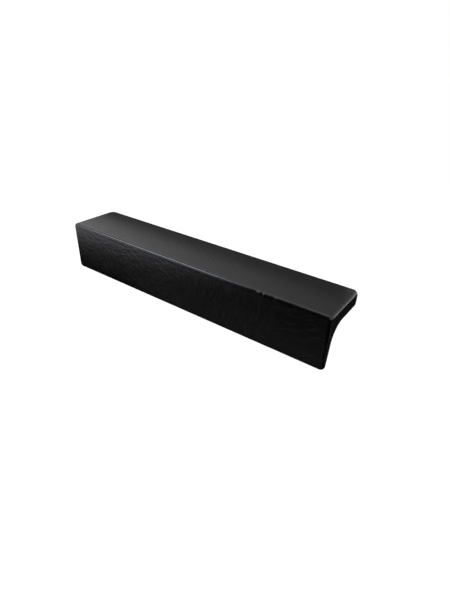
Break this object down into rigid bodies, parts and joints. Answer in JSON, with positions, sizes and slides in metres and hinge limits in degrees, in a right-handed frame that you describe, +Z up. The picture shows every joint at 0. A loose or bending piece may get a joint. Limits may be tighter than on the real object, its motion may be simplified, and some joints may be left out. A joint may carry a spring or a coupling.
{
  "type": "tab pull",
  "caption": "Cast L-section tab pull: a flat top plate with a hanging, textured front lip that fingertips hook behind, fixed by screws from the rear.",
  "frame": {"origin": "on the rear face, midway between the mounting holes, level with the middle of the plate", "axes": "+X along the bar, +Y out of the rear face towards the drawer front, +Z up"},
  "size_m": [0.152, 0.0275, 0.026],
  "materials": {
    "black_casting": "satin black, smooth on top, finely textured on the front face"
  },
  "bodies": {
    "root": {"tab_pull": "black_casting"}
  },
  "joints": []
}
